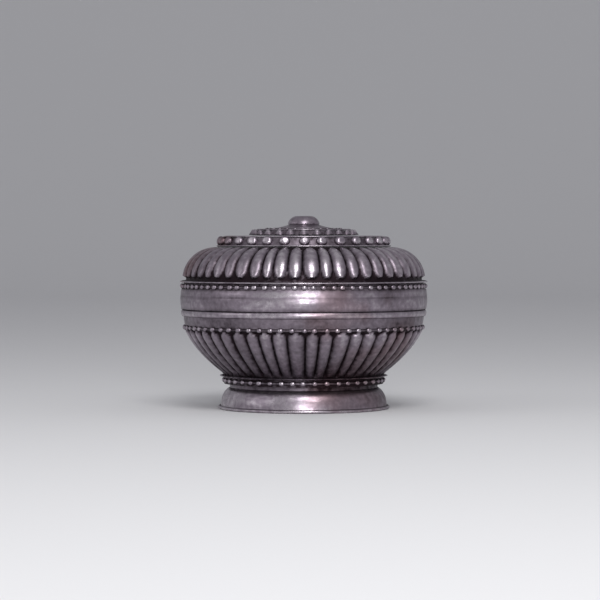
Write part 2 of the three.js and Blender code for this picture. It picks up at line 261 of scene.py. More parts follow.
print("dull from", DULL_LEVEL, "and black from", BLACK_LEVEL)

# %% [markdown]
# Shallow hammer marks and fine scratches from polishing cover the real box. They are too small
# to model, so they are left to bump. One finish for all would look cast, so there are three:
# chased relief has the deepest marks, plain sheet is the cloudiest, and wires are the darkest
# beside their bright crests.

# %% Three finishes
METALLIC = 0.95
HAMMER_SCALE = 420
SCRATCH_SCALE = (300, 300, 5200)  # squeezed upwards, so the scratches run round the box
SCRATCH_DETAIL = 2
SCRATCH_SHARE = 0.35  # height of the scratches as a share of the hammer marks
BUMP_STRENGTH = 0.45


def fine_marks(tree, place, mark_depth):
    hammer = tree.nodes.new("ShaderNodeTexVoronoi")
    hammer.feature = "SMOOTH_F1"
    hammer.inputs["Scale"].default_value = HAMMER_SCALE
    tree.links.new(place, hammer.inputs["Vector"])
    squeeze = tree.nodes.new("ShaderNodeMapping")
    squeeze.inputs["Scale"].default_value = SCRATCH_SCALE
    tree.links.new(place, squeeze.inputs["Vector"])
    scratches = add_noise(tree, squeeze.outputs["Vector"], 1, SCRATCH_DETAIL)
    marks = add_math(tree, "MULTIPLY", scratches, SCRATCH_SHARE)
    marks = add_math(tree, "ADD", marks, hammer.outputs["Distance"])
    bump = tree.nodes.new("ShaderNodeBump")
    bump.inputs["Strength"].default_value = BUMP_STRENGTH
    bump.inputs["Distance"].default_value = mark_depth
    tree.links.new(marks, bump.inputs["Height"])
    return bump.outputs["Normal"]


def tarnished_silver(name, groove_tarnish, cloud_tarnish, smoothness, mark_depth):
    """A finish from bright rubbed silver to blackened grooves."""
    material = bpy.data.materials.new(name)
    material.use_nodes = True
    tree = material.node_tree
    shader = tree.nodes["Principled BSDF"]
    shader.inputs["Metallic"].default_value = METALLIC
    place = tree.nodes.new("ShaderNodeTexCoord").outputs["Object"]
    tarnish = tarnish_level(tree, place, groove_tarnish, cloud_tarnish)
    tree.links.new(silver_colour(tree, place, tarnish), shader.inputs["Base Color"])
    tree.links.new(silver_roughness(tree, tarnish, smoothness), shader.inputs["Roughness"])
    tree.links.new(fine_marks(tree, place, mark_depth), shader.inputs["Normal"])
    return material


chased = tarnished_silver(
    "chased_silver", groove_tarnish=0.8, cloud_tarnish=0.75, smoothness=0.75, mark_depth=0.1 * MM
)
plain = tarnished_silver(
    "plain_silver", groove_tarnish=0.55, cloud_tarnish=1.1, smoothness=0.78, mark_depth=0.08 * MM
)
wire = tarnished_silver(
    "wire_silver", groove_tarnish=0.9, cloud_tarnish=0.6, smoothness=0.78, mark_depth=0.04 * MM
)
print("finishes:", chased.name, plain.name, wire.name)

# %% [markdown]
# Nearly every piece was turned or raised over a round form, so one helper makes them all: it
# starts from a circle, pulls that ring up or down along the section with extrude, and resizes it
# each time. Spinning a drawn outline would do the same, but rings make it easy to work the
# surface afterwards: a chaser's function can press any point inwards and blacken it.

# %% Turning a piece from rings
SHEET = 0.7 * MM  # thickness of the silver
SAME_PLACE = 1e-6  # metres: points nearer than this are merged


def turned_piece(name, section, steps, press=None):
    """Rings along the section, in metres. press(ring, angle) gives (inward push, hollow)."""
    deselect()
    bpy.ops.mesh.primitive_circle_add(vertices=steps, radius=section[0][0])
    piece = bpy.context.object
    piece.name = piece.data.name = name
    bpy.ops.object.mode_set(mode="EDIT")
    bpy.ops.mesh.select_all(action="SELECT")
    bpy.ops.transform.translate(value=(0, 0, section[0][1]))
    for (radius, height), (next_radius, next_height) in zip(section, section[1:]):
        lift = {"value": (0, 0, next_height - height)}
        bpy.ops.mesh.extrude_region_move(TRANSFORM_OT_translate=lift)
        share = next_radius / radius
        bpy.ops.transform.resize(value=(share, share, 1), center_override=(0, 0, next_height))
    bpy.ops.object.mode_set(mode="OBJECT")
    hollow = piece.data.attributes.new("hollow", "FLOAT", "POINT")
    if press:
        for vertex in piece.data.vertices:
            ring = vertex.index // steps
            push, depth = press(ring, math.atan2(vertex.co.y, vertex.co.x))
            ahead = section[min(ring + 1, len(section) - 1)]
            behind = section[max(ring - 1, 0)]
            along = Vector((ahead[0] - behind[0], ahead[1] - behind[1])).normalized()
            radius = math.hypot(vertex.co.x, vertex.co.y)
            moved = radius - push * along.y
            vertex.co.x *= moved / radius
            vertex.co.y *= moved / radius
            vertex.co.z += push * along.x
            hollow.data[vertex.index].value = depth
    return piece


def close_and_smooth(piece, angle=50):
    """Merges a section's ends, fills what stays open, turns faces outwards and smooths."""
    deselect()
    piece.select_set(True)
    bpy.context.view_layer.objects.active = piece
    bpy.ops.object.mode_set(mode="EDIT")
    bpy.ops.mesh.select_all(action="SELECT")
    bpy.ops.mesh.remove_doubles(threshold=SAME_PLACE)
    bpy.ops.mesh.fill_holes(sides=0)
    bpy.ops.mesh.select_all(action="SELECT")
    bpy.ops.mesh.normals_make_consistent(inside=False)
    bpy.ops.object.mode_set(mode="OBJECT")
    bpy.ops.object.shade_smooth_by_angle(angle=math.radians(angle))


def finish_piece(piece, body, slot, material, *nodes):
    """Gives a piece its finish and its body, and hides the CAD nodes that it stands for."""
    piece.data.materials.clear()
    piece.data.materials.append(material)
    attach(piece, body)
    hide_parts(*nodes)
    print(piece.name, len(piece.data.polygons), "faces")


print("sheet", round(SHEET / MM, 2), "mm thick")

# %% [markdown]
# The sections of the pieces are drawn from a few points, as on a maker's template. Two helpers
# serve them all: one measures a piece in the frame, and one draws a bent line between two points.

# %% Measuring and drawing a section
def reach(node):
    """Outer radius, lowest and highest height of a CAD node."""
    low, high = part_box(node)
    return high[0], low[2], high[2]


def bend(start, pull, end, t):
    """A number that goes from start to end as t goes from 0 to 1, drawn towards pull."""
    return (1 - t) ** 2 * start + 2 * t * (1 - t) * pull + t**2 * end


def curve_points(start, pull, end, count):
    """Points along a curve from start to end that bends towards pull."""
    points = []
    for k in range(count + 1):
        points.append(tuple(bend(a, b, c, k / count) for a, b, c in zip(start, pull, end)))
    return points


print("the lid's band reaches out to", round(reach("lid_band")[0] / MM, 2), "mm")

# %% [markdown]
# The petals and flutes are pressed between seams set out by eye, so no two are quite as wide. A
# list of seams, each nudged a little by seeded chance, does the same. Between two seams the
# metal rises as a long round pad, and the seam itself is the blackened groove.

# %% Seams and pads
PAD_WIDTH = 0.93  # share of the space between two seams
LEAST_WIDTH = 1e-3  # keeps a pad's very tip from dividing by nothing
LEVEL_SPACING = 0.12  # how far apart in the noise two levels 1 mm apart lie


def uneven_seams(count, unevenness, seed):
    draw = random.Random(seed)
    step = 2 * math.pi / count
    return [(k + draw.uniform(-unevenness, unevenness)) * step for k in range(count)]


def place_between(seams, angle):
    """Where an angle lies between its two seams, from -1 to 1, and which pad that is."""
    angle %= 2 * math.pi
    k = bisect.bisect_right(seams, angle) - 1
    low = seams[k] if k >= 0 else seams[-1] - 2 * math.pi
    high = seams[k + 1] if k + 1 < len(seams) else seams[0] + 2 * math.pi
    return 2 * (angle - low) / (high - low) - 1, k


def pad_height(across, along, blunt):
    """Height of a long round pad, 1 on its crest and 0 outside. along runs from 0 to 1."""
    ends = min(along, 1 - along) / blunt
    if ends <= 0:
        return 0.0
    width = PAD_WIDTH * math.sqrt(1 - (1 - min(ends, 1)) ** 2)
    inside = 1 - (across / max(width, LEAST_WIDTH)) ** 2
    return math.sqrt(inside) if inside > 0 else 0.0


def ripple(angle, level, size, seed):
    """Unevenness from about -1 to 1: smooth round the box, and different at each level."""
    depth = level / MM * LEVEL_SPACING + seed
    return noise.noise(Vector((math.cos(angle) * size, math.sin(angle) * size, depth)))


crest, seam = (pad_height(across, along=0.5, blunt=0.2) for across in (0, 1))
print("height of a pad's crest:", crest, "and of its seam:", seam)

# %% [markdown]
# The shoulder of the lid is one domed sheet, chased with 52 long petals. One petal could be
# modelled and copied, but the copies would meet in cracks. So the whole dome is turned at once,
# and each point is pressed in by how far it lies from a petal's crest. The section comes back
# down on the inside, which gives the sheet its thickness.

# %% Petalled shoulder
PETALS = 52
PETAL_DEPTH = 0.85 * MM
PETAL_ROWS = 26  # from the petals' feet to the deck
PETAL_COLUMNS = 10  # across one petal
PETAL_START = 0.05  # share of the rise that lies below the petals
PETAL_LENGTH = 0.93  # share of the rise that a petal takes up
PETAL_BLUNTNESS = 0.24  # share of a petal that each of its rounded ends takes up
GROOVE_VARIETY = 0.12  # how much deeper one groove is than another
GROOVE_RUNOUT = 0.1  # share of the rise over which the grooves run out below the deck
PETAL_WEAR = 0.15  # how uneven the rubbing is
PETAL_WEAR_LEVELS = 40  # how fast the rubbing changes along a petal
PLAIN_WALL = 1.5 * MM  # height of the plain wall under the petals
DECK_LEDGE = 0.8 * MM  # how far the deck shows round the lower tier
DECK_LAP = 1.0 * MM  # how far it runs in under that tier
DOME_INNER_ROWS = 6
DOME_SEAM_HOLLOW = 0.75
DOME_INSIDE_HOLLOW = 0.4

shoulder_radius, shoulder_low, shoulder_top = reach("lid_shoulder")
petal_foot = shoulder_low + PLAIN_WALL
tier_radius = reach("boss_tier")[0]
deck_radius = tier_radius + DECK_LEDGE
deck_hole = tier_radius - DECK_LAP
petal_seams = uneven_seams(PETALS, unevenness=0.13, seed=3)


def quarter_round(inset, count):
    run = shoulder_radius - inset - deck_radius
    rise = shoulder_top - inset - petal_foot
    turns = [math.pi / 2 * k / count for k in range(count + 1)]
    return [(deck_radius + run * math.cos(t), petal_foot + rise * math.sin(t)) for t in turns]


def press_petal(ring, angle):
    along = (ring - 1) / PETAL_ROWS
    if not 0 <= along <= 1:
        return 0.0, DOME_SEAM_HOLLOW if ring == 0 else DOME_INSIDE_HOLLOW
    across, k = place_between(petal_seams, angle)
    height = pad_height(across, (along - PETAL_START) / PETAL_LENGTH, PETAL_BLUNTNESS)
    deeper = GROOVE_VARIETY * ripple(angle, k, size=9, seed=7)
    deeper -= max(0.0, 1 - (1 - along) / GROOVE_RUNOUT)
    patchy = abs(ripple(angle, along * PETAL_WEAR_LEVELS, size=14, seed=2))
    worn = max(0.0, height - PETAL_WEAR * patchy)
    return PETAL_DEPTH * (1 - height) * max(0.0, 1 + deeper), 1 - worn


shoulder_section = [(shoulder_radius, shoulder_low)]
shoulder_section += quarter_round(0, PETAL_ROWS)
shoulder_section += [(deck_hole, shoulder_top)]
shoulder_section += [(deck_hole, shoulder_top - PETAL_DEPTH - SHEET)]
shoulder_section += list(reversed(quarter_round(PETAL_DEPTH + SHEET, DOME_INNER_ROWS)))
shoulder_section += [(shoulder_radius - SHEET, shoulder_low), shoulder_section[0]]
shoulder = turned_piece(
    "petalled_shoulder", shoulder_section, PETALS * PETAL_COLUMNS, press_petal
)
close_and_smooth(shoulder)
finish_piece(shoulder, "lid", "chased_silver", chased, "lid_shoulder")

# %% [markdown]
# The bowl is raised from one sheet, and its flutes run from the band down to the foot. They are
# narrower and shallower than the petals, so their round tops catch the light just under the row
# of beads. They are pressed in the same way as the petals, on a wall that curves outwards.

# %% Fluted bowl
FLUTES = 48
FLUTE_DEPTH = 0.75 * MM
FLUTE_ROWS = 24
FLUTE_COLUMNS = 10
FLUTE_CUT_OFF = 0.16  # length of a flute that is lost at its foot, as a share of the wall
FLUTE_LENGTH = 1.17  # length of a whole flute, as a share of the wall
FLUTE_BLUNTNESS = 0.13
FLUTE_WEAR = 0.1
FLUTE_WEAR_LEVELS = 30
FLUTE_BELLY = 0.736  # how far out the wall is drawn halfway up, as a share of its spread
NECK_WIRE_WIDTH = 1.1 * MM  # how far the neck wire stands out from the bowl's base
PLAIN_STEP = 0.7 * MM  # bare metal between that wire and the flutes
PLAIN_RIM = 0.6 * MM  # bare metal above the flutes
BASE_RINGS = 2  # rings below the flutes
BOWL_FLOOR = 0.8 * MM
FLOOR_EYE = 2 * MM  # radius of the last ring, which is filled with one face
BOWL_INNER_ROWS = 8
INNER_FOOT_RISE = 0.6  # how far the inside climbs at its foot for each mm inwards
INNER_BELLY_RUN = 0.9
INNER_BELLY_RISE = 0.4
INSIDE_HOLLOW = 0.85

bowl_radius, bowl_low, bowl_top = reach("bowl")
base_radius = reach("neck_wire")[0] - NECK_WIRE_WIDTH
flute_foot = reach("neck_wire")[2] + PLAIN_STEP
flute_top = bowl_top - PLAIN_RIM
flute_start = base_radius + PLAIN_STEP
flute_belly = flute_start + (bowl_radius - flute_start) * FLUTE_BELLY
flute_seams = uneven_seams(FLUTES, unevenness=0.11, seed=8)


def bowl_wall(inset, count):
    """The fluted wall, or with an inset the wall's inside, which lies inwards and upwards."""
    halfway = (flute_foot + flute_top) / 2
    return curve_points(
        (flute_start - inset, flute_foot + inset * INNER_FOOT_RISE),
        (flute_belly - inset * INNER_BELLY_RUN, halfway + inset * INNER_BELLY_RISE),
        (bowl_radius - inset, flute_top),
        count,
    )


def press_flute(ring, angle):
    along = (ring - BASE_RINGS) / FLUTE_ROWS
    if not 0 <= along <= 1:
        return 0.0, INSIDE_HOLLOW
    across, k = place_between(flute_seams, angle)
    height = pad_height(across, (along + FLUTE_CUT_OFF) / FLUTE_LENGTH, FLUTE_BLUNTNESS)
    rubbed = height * (0.5 + 0.5 * along)  # fingers rub the upper half most
    patchy = abs(ripple(angle, along * FLUTE_WEAR_LEVELS, size=12, seed=5))
    worn = max(0.0, rubbed - FLUTE_WEAR * patchy)
    return FLUTE_DEPTH * (1 - height), 1 - worn


bowl_section = [(base_radius, bowl_low), (base_radius, flute_foot - PLAIN_STEP)]
bowl_section += bowl_wall(0, FLUTE_ROWS)
bowl_section += [(bowl_radius, bowl_top), (bowl_radius - SHEET, bowl_top)]
bowl_section += list(reversed(bowl_wall(FLUTE_DEPTH + SHEET, BOWL_INNER_ROWS)))
bowl_section += [(base_radius - 2 * SHEET, bowl_low + BOWL_FLOOR)]
bowl_section += [(FLOOR_EYE, bowl_low + BOWL_FLOOR)]
bowl = turned_piece("fluted_bowl", bowl_section, FLUTES * FLUTE_COLUMNS, press_flute)
close_and_smooth(bowl)
finish_piece(bowl, "box", "chased_silver", chased, "bowl")

# %% [markdown]
# The lid's band is hammered sheet with a swelling outside and a rebate for the beads. A smooth
# turned band would be simpler, but it would look cast. A slow ripple moves the surface in by up
# to a tenth of a millimetre, so that highlights wander over it, and a faint crease runs round it.

# %% Lid band
BAND_ROWS = 14
BAND_STEPS = 256
BAND_WALL = 1.3 * MM  # from the band's widest ring in to its bore
BAND_TUCK = 0.3 * MM  # how far its edges draw in
BAND_PULL = 0.27 * MM  # how far outside its widest ring the curve is drawn
SOLDER_GAP = 0.1 * MM
BAND_DENTS = 0.06 * MM
BAND_DENT_BIAS = 0.6  # raises the ripple, so that most of the band is pressed in a little
BAND_DENT_LEVELS = 60
BAND_HOLLOW = 0.16
CREASE_HEIGHT = 0.62  # share of the way up the band
CREASE_WANDER = 0.05
CREASE_WIDTH = 0.045
CREASE_DEPTH = 0.07 * MM
CREASE_HOLLOW = 0.45
EDGE_START = 0.75  # share of the way from the middle to an edge where that edge darkens
BORE_HOLLOW = 0.8

band_radius, band_low, band_top = reach("lid_band")
bore = band_radius - BAND_WALL
rebate_radius = shoulder_radius
rebate_height = reach("lid_bead_wire")[1] - SOLDER_GAP


def press_band(ring, angle):
    if ring > BAND_ROWS:
        return 0.0, BORE_HOLLOW
    along = ring / BAND_ROWS
    crease_at = CREASE_HEIGHT + CREASE_WANDER * ripple(angle, 0, size=2.2, seed=4)
    crease = math.exp(-(((along - crease_at) / CREASE_WIDTH) ** 2))
    ups = ripple(angle, along * BAND_DENT_LEVELS, size=5, seed=1)
    dents = BAND_DENTS * (BAND_DENT_BIAS + ups)
    edge = max(0.0, abs(along - 0.5) * 2 - EDGE_START) * 2
    push = CREASE_DEPTH * crease + max(0.0, dents)
    return push, BAND_HOLLOW + CREASE_HOLLOW * crease + edge


band_section = curve_points(
    (band_radius - BAND_TUCK, band_low),
    (band_radius + BAND_PULL, (band_low + rebate_height) / 2),
    (band_radius - BAND_TUCK, rebate_height),
    BAND_ROWS,
)
band_section += [(rebate_radius, rebate_height), (rebate_radius, band_top), (bore, band_top)]
band_section += [(bore, band_low), band_section[0]]
lid_band = turned_piece("hammered_lid_band", band_section, BAND_STEPS, press_band)
close_and_smooth(lid_band)
finish_piece(lid_band, "lid", "plain_silver", plain, "lid_band")

# %% [markdown]
# The band at the mouth is plain sheet as well. Its outside is one curve and its inside the same
# curve set in by the thickness of the sheet. A solidify modifier could do that too, but here the
# inside gets its own tarnish. One press function serves this band, the collar, the foot and knob.

# %% Mouth band
MOUTH_ROWS = 8
MOUTH_TUCK = 0.55 * MM  # how much narrower the band is where it meets the bowl
MOUTH_BELLY = 0.1 * MM
MOUTH_BELLY_HEIGHT = 2 * MM
DENT_LEVELS = 9  # how fast the dents change from one ring to the next
DENT_BIAS = 0.5
DENT_HOLLOW = 0.25


def dented(depth, hollow, last_ring, seed):
    """A press function for plain sheet: ripples on the outside, tarnish on the inside."""

    def press(ring, angle):
        if ring > last_ring:
            return 0.0, INSIDE_HOLLOW
        ups = ripple(angle, ring * DENT_LEVELS, size=4, seed=seed)
        return max(0.0, depth * (DENT_BIAS + ups)), hollow + DENT_HOLLOW * max(0.0, ups)

    return press


mouth_radius, mouth_low, mouth_top = reach("bowl_band")
mouth_section = curve_points(
    (mouth_radius - MOUTH_TUCK, mouth_low),
    (mouth_radius - MOUTH_BELLY, mouth_low + MOUTH_BELLY_HEIGHT),
    (mouth_radius, mouth_top),
    MOUTH_ROWS,
)
mouth_section += [(r - SHEET, z) for r, z in reversed(mouth_section)] + [mouth_section[0]]
mouth_dents = dented(0.05 * MM, hollow=0.5, last_ring=MOUTH_ROWS, seed=3)
mouth_band = turned_piece("mouth_band", mouth_section, BAND_STEPS, mouth_dents)
close_and_smooth(mouth_band)
finish_piece(mouth_band, "box", "plain_silver", plain, "bowl_band")

# %% [markdown]
# The lid drops over a collar that stands inside the mouth. It is a plain tube with a rounded
# upper edge that leads the lid on. Bevelling a tube would round both edges, so the few points
# of the rounding are written into the section.

# %% Seat collar
SEAT_STEPS = 192
SEAT_LEAD = 0.3 * MM  # width and height of the rounded edge
SEAT_LEAD_OUT = 0.1 * MM
SEAT_LEAD_DROP = 0.08 * MM

seat_radius, seat_low, seat_top = reach("seat_collar")
seat_section = [
    (seat_radius, seat_low),
    (seat_radius, seat_top - SEAT_LEAD),
    (seat_radius - SEAT_LEAD_OUT, seat_top - SEAT_LEAD_DROP),
    (seat_radius - SEAT_LEAD, seat_top),
    (seat_radius - SHEET, seat_top),
    (seat_radius - SHEET, seat_low),
    (seat_radius, seat_low),
]
seat_dents = dented(0.02 * MM, hollow=0.3, last_ring=3, seed=6)
seat = turned_piece("seat_for_the_lid", seat_section, SEAT_STEPS, seat_dents)
close_and_smooth(seat, angle=30)
finish_piece(seat, "box", "plain_silver", plain, "seat_collar")

# %% [markdown]
# The foot is a skirt of plain sheet that flares from a narrow neck, hollow underneath. A cone
# would give its height and spread but not its full curve, so the outside is a bent line. Its
# lowest ring is left without dents, because the box stands on it.

# %% Foot
SKIRT_ROWS = 12
SKIRT_FULLNESS = 0.8  # share of the skirt's height where it is still nearly upright
SKIRT_INNER_BEND = 0.35  # share of its height where the inside turns upright
NECK_INSET = 1.4 * MM  # how far the neck stands inside the bowl's base
NECK_HEIGHT = 0.8 * MM

foot_radius, foot_low, foot_top = reach("foot_ring")
neck_radius = base_radius - NECK_INSET
skirt_top = foot_top - NECK_HEIGHT
foot_section = curve_points(
    (foot_radius, foot_low),
    (foot_radius, skirt_top * SKIRT_FULLNESS),
    (neck_radius, skirt_top),
    SKIRT_ROWS,
)
foot_section += [(neck_radius, foot_top), (neck_radius - SHEET, foot_top)]
foot_section += [(neck_radius - SHEET, skirt_top - SHEET)]
foot_section += [(foot_radius - SHEET, skirt_top * SKIRT_INNER_BEND)]
foot_section += [(foot_radius - SHEET, foot_low), foot_section[0]]
skirt_dents = dented(0.06 * MM, hollow=0.2, last_ring=SKIRT_ROWS - 1, seed=9)


def press_foot(ring, angle):
    """Dents on the skirt, but none where the box stands on its edge."""
    push, hollow = skirt_dents(ring, angle)
    return (push if ring else 0.0), hollow


foot = turned_piece("foot_skirt", foot_section, BAND_STEPS, press_foot)
close_and_smooth(foot)
finish_piece(foot, "box", "plain_silver", plain, "foot_ring")

# %% [markdown]
# Thin plain wires mark every change of form. A wire is a half round whose flat side lies on the
# wall. A full torus would be simpler, but it would sink into the sheet behind it.

# %% Plain wires
WIRE_POINTS = 8  # faces across the half round
WIRE_STEPS = 224
WIRE_SWELL = 0.08  # how much a wire's bulge varies


def plain_wire(name, node, bulge, body):
    """A half-round wire in the space of its CAD node, waving slightly along its edges."""
    radius, low, high = reach(node)
    inner = radius - bulge
    middle, half = (low + high) / 2, (high - low) / 2
    section = []
    for k in range(WIRE_POINTS + 1):
        turn = math.pi * (k / WIRE_POINTS - 0.5)
        section.append((inner + bulge * math.cos(turn), middle + half * math.sin(turn)))
    section.append(section[0])

    def press(ring, angle):
        swell = WIRE_SWELL * bulge * (0.5 + ripple(angle, low / MM, size=6, seed=5))
        share = abs(ring / WIRE_POINTS - 0.5) * 2
        return max(0.0, swell), min(1.0, share**3)

    piece = turned_piece(name, section, WIRE_STEPS, press)
    close_and_smooth(piece)
    finish_piece(piece, body, "wire_silver", wire, node)


plain_wire("foot_edge", "foot_edge_wire", bulge=0.55 * MM, body="box")
plain_wire("neck_ridge", "neck_wire", bulge=1.0 * MM, body="box")
plain_wire("mouth_moulding", "mouth_wire", bulge=0.4 * MM, body="box")
plain_wire("shoulder_ridge", "shoulder_wire", bulge=0.5 * MM, body="lid")
plain_wire("lower_tier_foot", "boss_tier_foot_wire", bulge=0.5 * MM, body="lid")
plain_wire("lower_tier_rim", "boss_tier_rim_wire", bulge=0.5 * MM, body="lid")
plain_wire("upper_tier_rim", "point_tier_rim_wire", bulge=0.4 * MM, body="lid")

# %% [markdown]
# Beads, bosses and points all repeat round the box. Each is modelled once at the front, much as
# a maker strikes them all with one punch. An array modifier would set them out perfectly evenly,
# so the copies are made in a loop, and each one is turned and shrunk by its own small error.

# %% Copies round the box
def ring_of_copies(model, count, seed, unevenness, shrinkage):
    """Copies of a piece modelled at the front, spread round the axis. The model is removed."""
    draw = random.Random(seed)
    step = 2 * math.pi / count
    home = sum((v.co for v in model.data.vertices), Vector()) / len(model.data.vertices)
    copies = []
    for k in range(count):
        copy = model.copy()
        copy.data = model.data.copy()
        bpy.context.scene.collection.objects.link(copy)
        size = 1 - draw.uniform(0, shrinkage)
        turn = (k + draw.uniform(-unevenness, unevenness)) * step
        shrink = Matrix.Translation(home) @ Matrix.Scale(size, 4) @ Matrix.Translation(-home)
        copy.data.transform(Matrix.Rotation(turn, 4, "Z") @ shrink)
        copies.append(copy)
    bpy.data.objects.remove(model)
    return copies


def join(pieces, name):
    deselect()
    for piece in pieces:
        piece.select_set(True)
    bpy.context.view_layer.objects.active = pieces[0]
    bpy.ops.object.join()
    pieces[0].name = pieces[0].data.name = name
    return pieces[0]


def mark_hollow(piece, rule):
    """Writes the hollow attribute point by point: rule takes (radius, height)."""
    hollow = piece.data.attributes.get("hollow")
    if hollow is None:
        hollow = piece.data.attributes.new("hollow", "FLOAT", "POINT")
    for vertex in piece.data.vertices:
        depth = rule(math.hypot(vertex.co.x, vertex.co.y), vertex.co.z)
        hollow.data[vertex.index].value = min(1.0, max(0.0, depth))


def round_stud(radius, height, half_width, half_height, bulge, segments=10, rings=6):
    """A flattened ball at the front of the box, with its place in its mesh."""
    deselect()
    bpy.ops.mesh.primitive_uv_sphere_add(segments=segments, ring_count=rings, radius=1)
    stud = bpy.context.object
    bpy.ops.object.mode_set(mode="EDIT")
    bpy.ops.mesh.select_all(action="SELECT")
    bpy.ops.transform.resize(value=(half_width, bulge, half_height))
    bpy.ops.transform.translate(value=(0, -radius, height))
    bpy.ops.object.mode_set(mode="OBJECT")
    bpy.ops.object.shade_smooth()
    return stud


# %% [markdown]
# A beaded wire is rolled, so its beads touch and vary a little. One bead is modelled from a
# sphere and copied round a thin core. Beads with no core would float between their neighbours.

# %% Beaded wires
BEAD_SETTING = 0.1  # how far a bead's middle stands out, as a share of the wire's bulge
BEAD_WIDTH = 1.4  # half width of a bead, as a share of its half height
BEAD_BULGE = 0.9
CORE_BULGE = 0.35
CORE_BACK = 0.55  # half height of the core at its back, as a share of a bead's
CORE_FRONT = 0.3
CORE_STEPS = 2  # faces of the core behind one bead
BEAD_FADE = 1.25  # how fast the hollow fades from the wall out to a bead's crest


def beaded_wire(name, node, count, body, bulge, seed):
    """A thin core with round beads on it, in the space of its CAD node."""
    radius, low, high = reach(node)
    middle, half = (low + high) / 2, (high - low) / 2
    inner = radius - bulge
    set_at = inner + bulge * BEAD_SETTING
    bead = round_stud(set_at, middle, half * BEAD_WIDTH, half, bulge * BEAD_BULGE)
    beads = ring_of_copies(bead, count, seed, unevenness=0.09, shrinkage=0.14)
    core_section = [
        (inner, middle - half * CORE_BACK),
        (inner + bulge * CORE_BULGE, middle - half * CORE_FRONT),
        (inner + bulge * CORE_BULGE, middle + half * CORE_FRONT),
        (inner, middle + half * CORE_BACK),
        (inner, middle - half * CORE_BACK),
    ]
    core = turned_piece(name + "_core", core_section, count * CORE_STEPS)
    close_and_smooth(core)
    piece = join([core] + beads, name)
    mark_hollow(piece, lambda r, z: 1.0 - BEAD_FADE * (r - inner) / bulge)
    finish_piece(piece, body, "wire_silver", wire, node)


beaded_wire("lid_beads", "lid_bead_wire", count=80, body="lid", bulge=0.55 * MM, seed=1)
beaded_wire("bowl_beads", "bowl_bead_wire", count=68, body="box", bulge=0.55 * MM, seed=2)
beaded_wire("foot_beads", "foot_bead_wire", count=44, body="box", bulge=0.55 * MM, seed=4)
beaded_wire("granules", "granule_wire", count=28, body="lid", bulge=0.5 * MM, seed=5)

# %% [markdown]
# The crown steps up in two tiers. The lower one carries 29 round bosses, pressed out from behind
# and each marked with a small dent. They could be pressed like the petals, but a boss is rounder
# than the wall's rings can follow. So each is a flattened ball that is joined to the wall.

# %% Lower tier
BOSSES = 29
FACES_PER_STUD = 6  # of a tier's wall, for each boss or point
TIER_ROWS = 4
TIER_FLANGE = 0.5 * MM  # how far a tier's base reaches in past its wall
LOWER_WALL = 2.05 * MM
LOWER_LEAN = 1.0 * MM
LOWER_LAP = 1.6 * MM  # how far the lower deck runs in under the upper tier
BOSS_SETTING = 0.55 * MM  # how far a boss's middle lies inside the tier's base
BOSS_HOLLOW = 0.5  # at a boss's middle
BOSS_FADE = 0.6  # how much the hollow fades for each mm outwards
DENT_ASIDE = 0.35 * MM  # from the boss's middle to the middle of its dent
DENT_OUT = 0.4 * MM  # outside the tier's base
DENT_HEIGHT = 1.75 * MM
DENT_REACH = 0.75 * MM
DENT_DEPTH = 0.35 * MM
TIER_WALL_HOLLOW = 0.6
DECK_HOLLOW = 0.35
DECK_CLOUDS = 0.3

tier_low, tier_top = reach("boss_tier")[1:]
inner_rim = reach("point_tier")[0] - LOWER_LAP


def press_tier(ring, angle):
    """No push: dark walls, and a deck with cloudy tarnish."""
    if ring <= TIER_ROWS:
        return 0.0, TIER_WALL_HOLLOW
    return 0.0, DECK_HOLLOW + DECK_CLOUDS * ripple(angle, ring, size=4, seed=3)


def tier_section(radius, low, wall, lean, top, hole):
    """A wall that leans in, a deck that climbs to its hole, and the inside of both."""
    rows = range(1, TIER_ROWS + 1)
    edge, climb = radius - lean, top - low - wall
    outside = [(radius, low)]
    outside += [(radius - lean * k / TIER_ROWS, low + wall * k / TIER_ROWS) for k in rows]
    for k in rows:
        deck_height = low + wall + climb * k / TIER_ROWS
        outside.append((edge + (hole - edge) * k / TIER_ROWS, deck_height))
    inside = [(hole, top - SHEET), (radius - lean - SHEET, low + wall - SHEET)]
    inside += [(radius - SHEET - TIER_FLANGE, low), (radius, low)]
    return outside + inside


lower_section = tier_section(tier_radius, tier_low, LOWER_WALL, LOWER_LEAN, tier_top, inner_rim)
lower_base = turned_piece("lower_tier", lower_section, BOSSES * FACES_PER_STUD, press_tier)
close_and_smooth(lower_base, angle=35)
boss = round_stud(
    radius=tier_radius - BOSS_SETTING,
    height=tier_low + 1.35 * MM,
    half_width=1.45 * MM,
    half_height=1.2 * MM,
    bulge=1.1 * MM,
    segments=18,
    rings=12,
)
dent_centre = Vector((DENT_ASIDE, -tier_radius - DENT_OUT, tier_low + DENT_HEIGHT))
for vertex in boss.data.vertices:
    nearness = 1 - (vertex.co - dent_centre).length / DENT_REACH
    if nearness > 0:
        vertex.co.y += DENT_DEPTH * nearness
mark_hollow(boss, lambda r, z: BOSS_HOLLOW - BOSS_FADE * (r - tier_radius + BOSS_SETTING) / MM)
bosses = ring_of_copies(boss, BOSSES, seed=6, unevenness=0.06, shrinkage=0.12)
lower_tier = join([lower_base] + bosses, "lower_tier")
finish_piece(lower_tier, "lid", "chased_silver", chased, "boss_tier")

# %% [markdown]
# The upper tier has 25 upright points like lotus buds. A bare cone would look machined, so one
# bud is a cone that is divided, flattened against the wall and smoothed a little. Its tip is
# bright and its foot dark, as where fingers can't reach.

